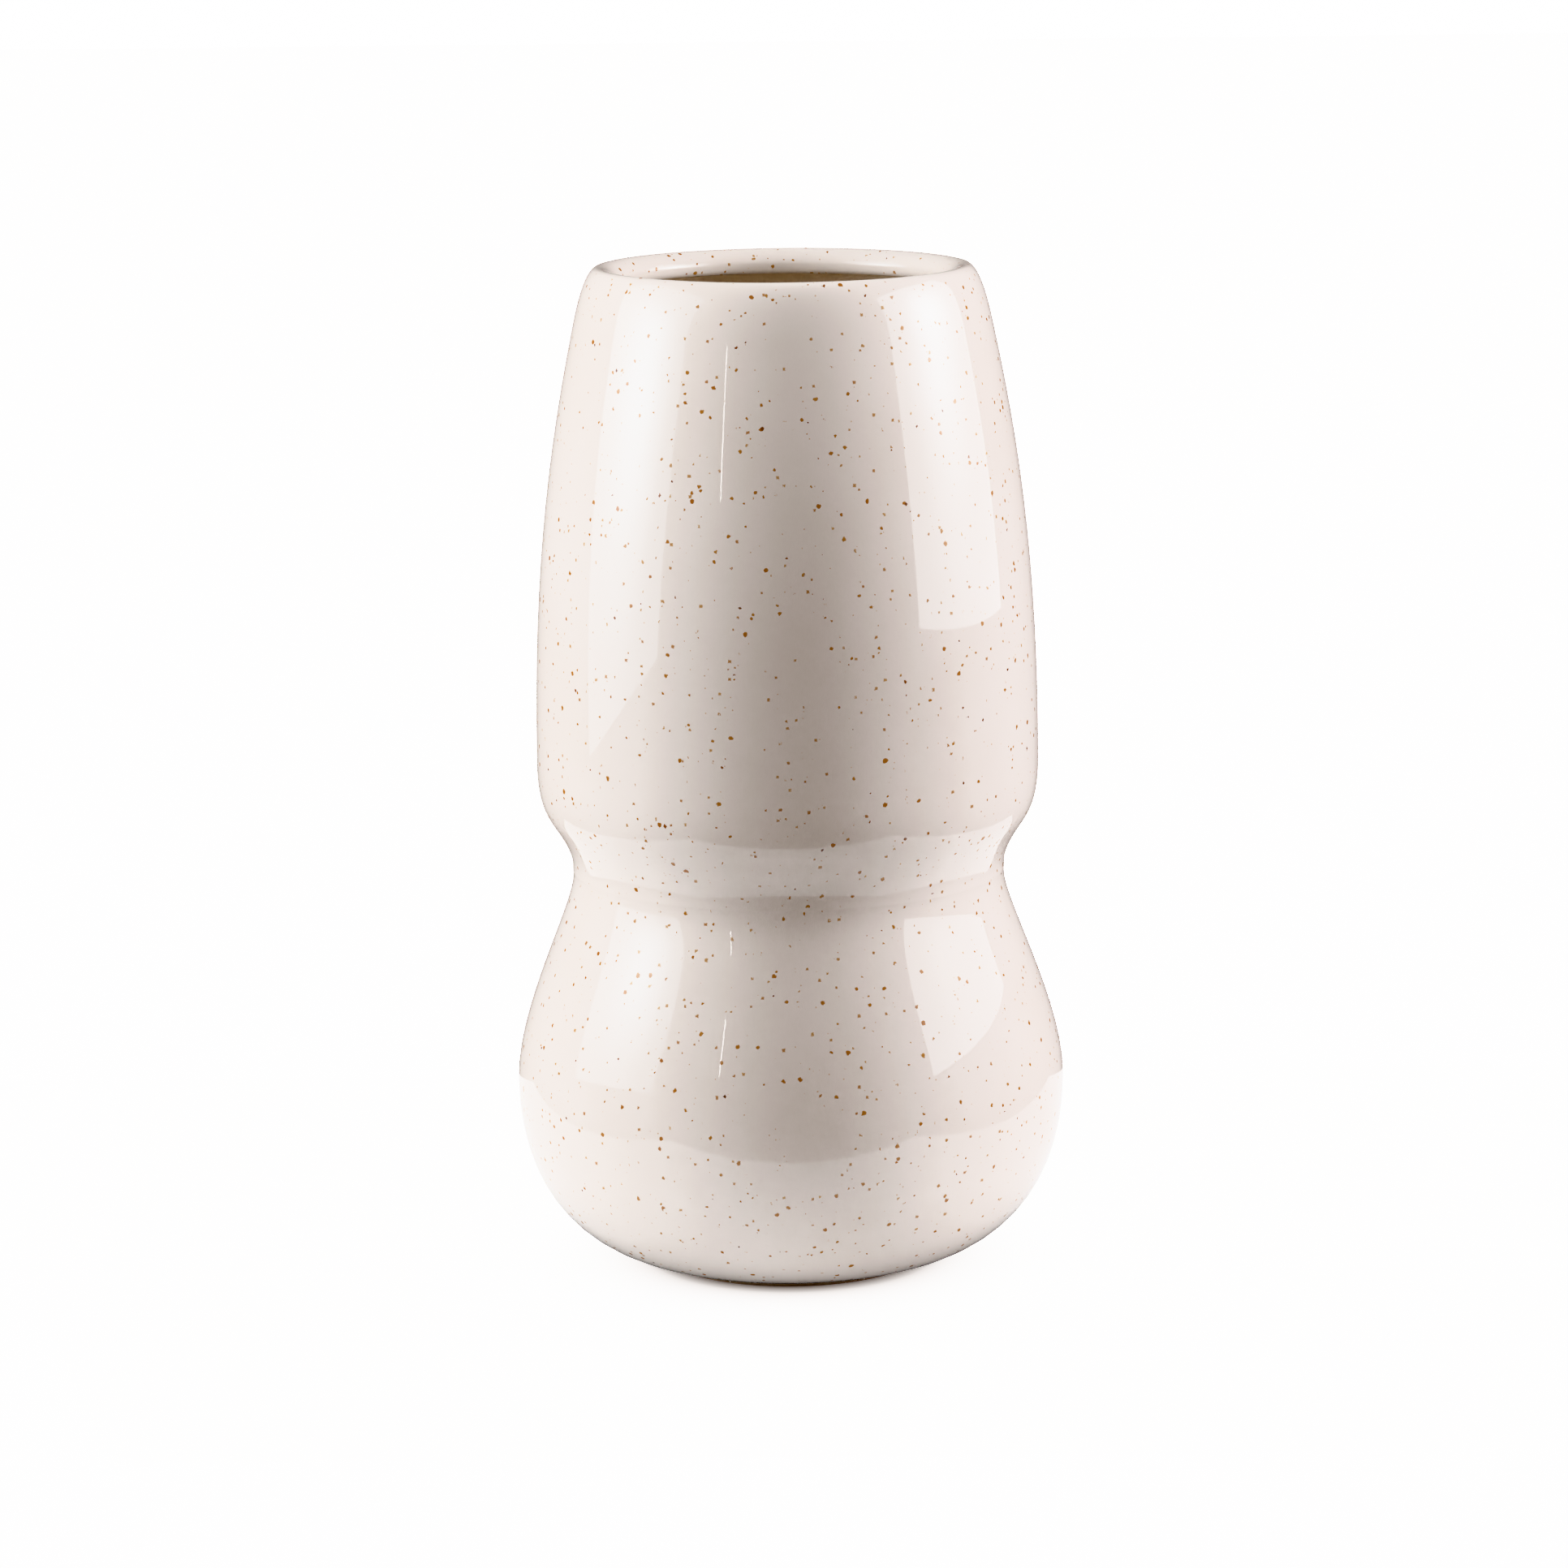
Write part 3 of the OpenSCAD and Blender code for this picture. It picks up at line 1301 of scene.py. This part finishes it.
@dataclass(frozen=True)
class SoftBox:
    """A rectangular studio light beside the vase.

    The middle of its lower edge stands at an azimuth, measured in degrees from
    the camera's side and positive to the right, at a distance from the vase's
    axis and at a height. It faces the axis, and is then turned about the
    vertical, tilted down and leant over sideways. Sizes are metres. A light may
    glow more strongly about one spot, given from the middle of its lower edge.
    """

    name: str
    azimuth: float
    distance: float
    bottom_z: float
    width: float
    tall: float
    radiance: float
    colour: Colour = (1.0, 1.0, 1.0)
    turned: float = 0.0
    tilt: float = 0.0
    lean: float = 0.0
    core: float = 0.0
    core_across: float = 0.0
    core_up: float = 0.25
    core_size: float = 0.12
    in_reflections: bool = True
    in_shading: bool = True

    def build(self) -> bpy.types.Object:
        """Sets the light up.

        Returns:
            The light.
        """
        data = bpy.data.lights.new(self.name, "AREA")
        data.shape = "RECTANGLE"
        data.size, data.size_y = self.width, self.tall
        data.color = self.colour
        # A flat lamp of one watt per square metre sends out 1 / pi of it each way.
        data.energy = self.radiance * math.pi * self.width * self.tall
        if self.core:
            self._warm_core(data)
        light = bpy.data.objects.new(self.name, data)
        bpy.context.scene.collection.objects.link(light)
        light.matrix_world = self._place()
        light.visible_camera = False
        light.visible_glossy = self.in_reflections
        light.visible_diffuse = self.in_shading
        return light

    def _place(self) -> Matrix:
        """Works out where the light stands.

        Returns:
            The light's matrix, with its local Z pointing away from the vase.
        """
        turn = math.radians(self.azimuth)
        foot = Vector((math.sin(turn), -math.cos(turn), 0.0)) * self.distance
        facing = Matrix.Rotation(math.radians(self.azimuth + self.turned), 3, "Z")
        tilted = Matrix.Rotation(math.radians(90.0 - self.tilt), 3, "X")
        leant = Matrix.Rotation(math.radians(self.lean), 3, "Z")
        frame_of_light = facing @ tilted @ leant
        middle = foot + Vector((0.0, 0.0, self.bottom_z))
        middle += frame_of_light @ Vector((0.0, self.tall / 2, 0.0))
        return Matrix.Translation(middle) @ frame_of_light.to_4x4()

    def _warm_core(self, data: bpy.types.AreaLight) -> None:
        """Makes the light stronger about one spot of its face.

        Args:
            data: The light's data.
        """
        data.use_nodes = True
        w = Wiring(data.node_tree)
        u, v, _ = w.add("ShaderNodeNewGeometry", output="Parametric").parts()
        across = ((u - 0.5) * self.width - self.core_across) / self.core_size
        up = (v * self.tall - self.core_up) / self.core_size
        glow = (across * across + up * up) * -1.0
        strength = glow.single("EXPONENT") * self.core + 1.0
        emission = next(n for n in data.node_tree.nodes if n.type == "EMISSION")
        w.feed(emission.inputs["Strength"], strength)


COOL: Colour = (0.95, 0.965, 1.0)
LILAC: Colour = (0.965, 0.955, 1.0)


@dataclass
class Studio:
    """Camera, lights, table and floor."""

    camera_distance: float = 1.25
    camera_z: float = 0.3677
    pitch: float = 11.199
    yaw: float = 0.043
    roll: float = 0.62
    sensor: float = 36.0
    lens: float = 117.01863
    table_shine: float = 2.0
    room: Colour = (0.195, 0.145, 0.115)
    backdrop: float = 40.0
    lights: tuple[SoftBox, ...] = (
        SoftBox(
            "left_softbox", -74.0, 0.549, 0.085, 0.418, 0.5, 2.35, (0.84, 0.94, 1.0),
            turned=-31.0, tilt=23.8, lean=8.8,
            core=4.6, core_across=-0.03, core_up=0.24, in_shading=False,
        ),
        SoftBox(
            "right_softbox", 82.9, 0.444, 0.137, 0.436, 0.4, 3.9, (0.9, 0.97, 1.0),
            turned=13.2, tilt=6.5, lean=-1.3,
            core=4.0, core_across=0.02, core_up=0.21, core_size=0.1, in_shading=False,
        ),
        SoftBox("thin_strip", -30, 1.0, 0.32, 0.006, 0.2, 22.0, in_shading=False),
        SoftBox("low_left_fill", -90, 0.9, -0.1, 0.9, 0.9, 3.4, COOL, in_reflections=False),
        SoftBox("high_left_fill", -90, 0.9, 0.45, 0.5, 0.9, 4.9, COOL, in_reflections=False),
        SoftBox("far_left_fill", -95, 1.5, 0.1, 0.4, 0.8, 11.0, COOL, in_reflections=False),
        SoftBox("high_right_fill", 90, 0.9, 0.45, 0.5, 0.9, 2.9, LILAC, in_reflections=False),
        SoftBox("far_right_fill", 95, 1.5, 0.1, 0.4, 0.8, 26.8, LILAC, in_reflections=False),
        SoftBox(
            "near_overhead", 0, 0.25, 0.45, 0.3, 0.12, 3.9, COOL, tilt=55, in_reflections=False
        ),
    )

    def build(self) -> None:
        """Sets the whole studio up."""
        self._camera()
        for light in self.lights:
            light.build()
        self._table()
        self._world()
        bpy.context.scene.view_settings.view_transform = "Khronos PBR Neutral"

    def _camera(self) -> None:
        """Places the camera."""
        data = bpy.data.cameras.new("camera")
        data.sensor_width, data.lens = self.sensor, self.lens
        data.clip_start, data.clip_end = 0.01, 50.0
        camera = bpy.data.objects.new("camera", data)
        bpy.context.scene.collection.objects.link(camera)
        look = Euler((math.radians(90 - self.pitch), 0.0, math.radians(self.yaw)), "XYZ")
        spin = Matrix.Rotation(math.radians(-self.roll), 3, "Z")
        place = Matrix.Translation((0.0, -self.camera_distance, self.camera_z))
        camera.matrix_world = place @ (look.to_matrix() @ spin).to_4x4()
        bpy.context.scene.camera = camera

    def _table(self) -> None:
        """Builds the white table, its gleam in the glaze and the floor around it, the last two
        with a painted shadow about the foot.
        """
        near = [(-0.154, -0.163), (0.165, -0.163), (0.25, 0.18), (-0.25, 0.18)]
        wide = [(-6.0, -6.0), (6.0, -6.0), (6.0, 6.0), (-6.0, 6.0)]
        table = self._sheet("white_table", near, 0.0, 0.88, 0.0, 0.0, 0.01)
        gleam = self._sheet("table_gleam", near, 0.0003, 0.0, self.table_shine, 0.045, 0.1)
        floor = self._sheet("pale_floor", wide, -0.0006, 0.93, 9.0, 0.03, 0.075)
        unseen = {
            table: ("camera",),
            gleam: ("camera", "diffuse", "transmission", "shadow"),
            floor: ("diffuse", "glossy", "transmission", "shadow"),
        }
        for sheet, rays in unseen.items():
            for ray in rays:
                setattr(sheet, f"visible_{ray}", False)

    @staticmethod
    def _sheet(
        name: str,
        corners: Sequence[Point],
        z: float,
        paleness: float,
        glow: float,
        shadow_from: float,
        shadow_to: float,
    ) -> bpy.types.Object:
        """Makes a flat sheet whose glow fades out towards the vase's foot, as a painted contact
        shadow.

        Args:
            name: Its name.
            corners: Its corners in metres, counter-clockwise.
            z: Its height.
            paleness: Share of the light that it throws back.
            glow: Light that it gives out by itself.
            shadow_from: Distance from the axis where the painted shadow starts to give way to the
                glow.
            shadow_to: Distance from the axis where the painted shadow ends and the glow is full.

        Returns:
            The sheet.
        """
        mesh = bpy.data.meshes.new(name)
        mesh.from_pydata([(x, y, z) for x, y in corners], [], [(0, 1, 2, 3)])
        material = bpy.data.materials.new(name)
        w = cleared(material)
        place = w.add("ShaderNodeTexCoord", output="Object")
        grain = w.noise(place, 9.0, 3.0)
        away = w.add("ShaderNodeVectorMath", {"operation": "LENGTH"}, {0: place}, "Value")
        # Painted contact shadow: the glow is nothing near the foot and full farther out.
        shade = away.step(shadow_from, shadow_to)
        w.surface(
            {
                "Base Color": w.mix(grain, (paleness,) * 3, (0.985 * paleness,) * 3),
                "Roughness": 0.9,
                "Specular IOR Level": 0.0,
                "Emission Color": w.mix(shade, (0.0, 0.0, 0.0), (1.0, 1.0, 1.0)),
                "Emission Strength": glow,
            }
        )
        mesh.materials.append(material)
        sheet = bpy.data.objects.new(name, mesh)
        bpy.context.scene.collection.objects.link(sheet)
        return sheet

    def _world(self) -> None:
        """Makes the room: white behind the vase, dim and warm for reflections."""
        world = bpy.data.worlds.new("studio")
        w = cleared(world)
        bpy.context.scene.world = world
        seen = w.add("ShaderNodeLightPath", output="Is Camera Ray")
        colour = w.mix(seen, self.room, (self.backdrop,) * 3)
        background = w.add("ShaderNodeBackground", {}, {"Color": colour, "Strength": 1.0})
        w.node("ShaderNodeOutputWorld", {}, {"Surface": background})


def main() -> None:
    """Builds the vase from the foot up, and then the studio."""
    logging.basicConfig(level=logging.INFO, format="%(name)s %(message)s")
    outline, workshop, finishes = Outline(), Workshop(), Finishes()
    for maker in (FootRing, ClaySections, GlazeCoats):
        maker(outline, workshop, finishes).build()
    Studio().build()


if __name__ == "__main__":
    main()
